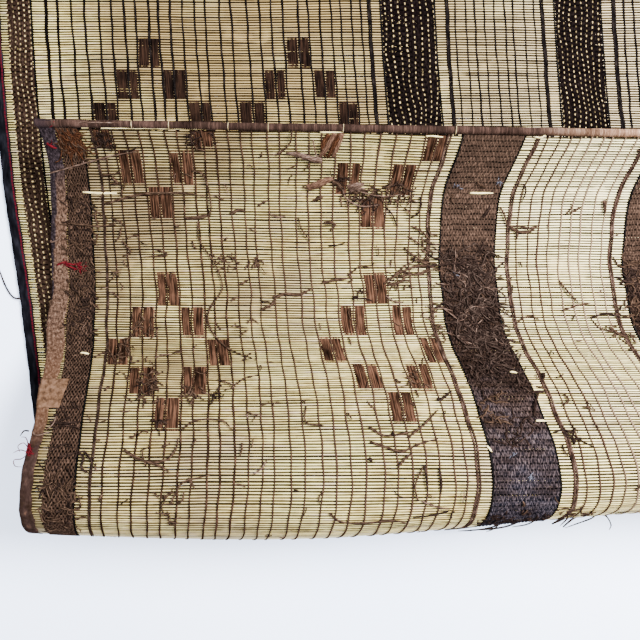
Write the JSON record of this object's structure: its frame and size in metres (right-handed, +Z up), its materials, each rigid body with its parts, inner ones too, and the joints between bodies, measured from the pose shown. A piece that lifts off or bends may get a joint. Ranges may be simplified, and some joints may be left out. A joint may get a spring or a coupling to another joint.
{
  "type": "reed and leather floor mat, one end folded over",
  "caption": "Reed mat woven on leather strings, leather bound, lying on the floor with one end folded back over itself in a springy loop.",
  "frame": {"origin": "on the floor, under the middle of the bounding box", "axes": "+X along the reeds, +Y along the leather strings from the fold to the long end, +Z up"},
  "size_m": [1.3172, 1.251, 0.1407],
  "materials": {
    "woven_reed": "dry reeds side by side, matt with a faint straw sheen",
    "black_leather": "black goat leather, folded round the edge and stitched",
    "brown_leather": "dark brown leather cord and thong, worn",
    "pale_leather": "pale undyed leather, flesh side out"
  },
  "bodies": {
    "root": {"woven_mat": "woven_reed", "binding_left": "black_leather", "binding_right": "black_leather", "roll_folded_end": "brown_leather", "roll_long_end": "brown_leather", "edge_patch": "pale_leather"}
  },
  "joints": []
}
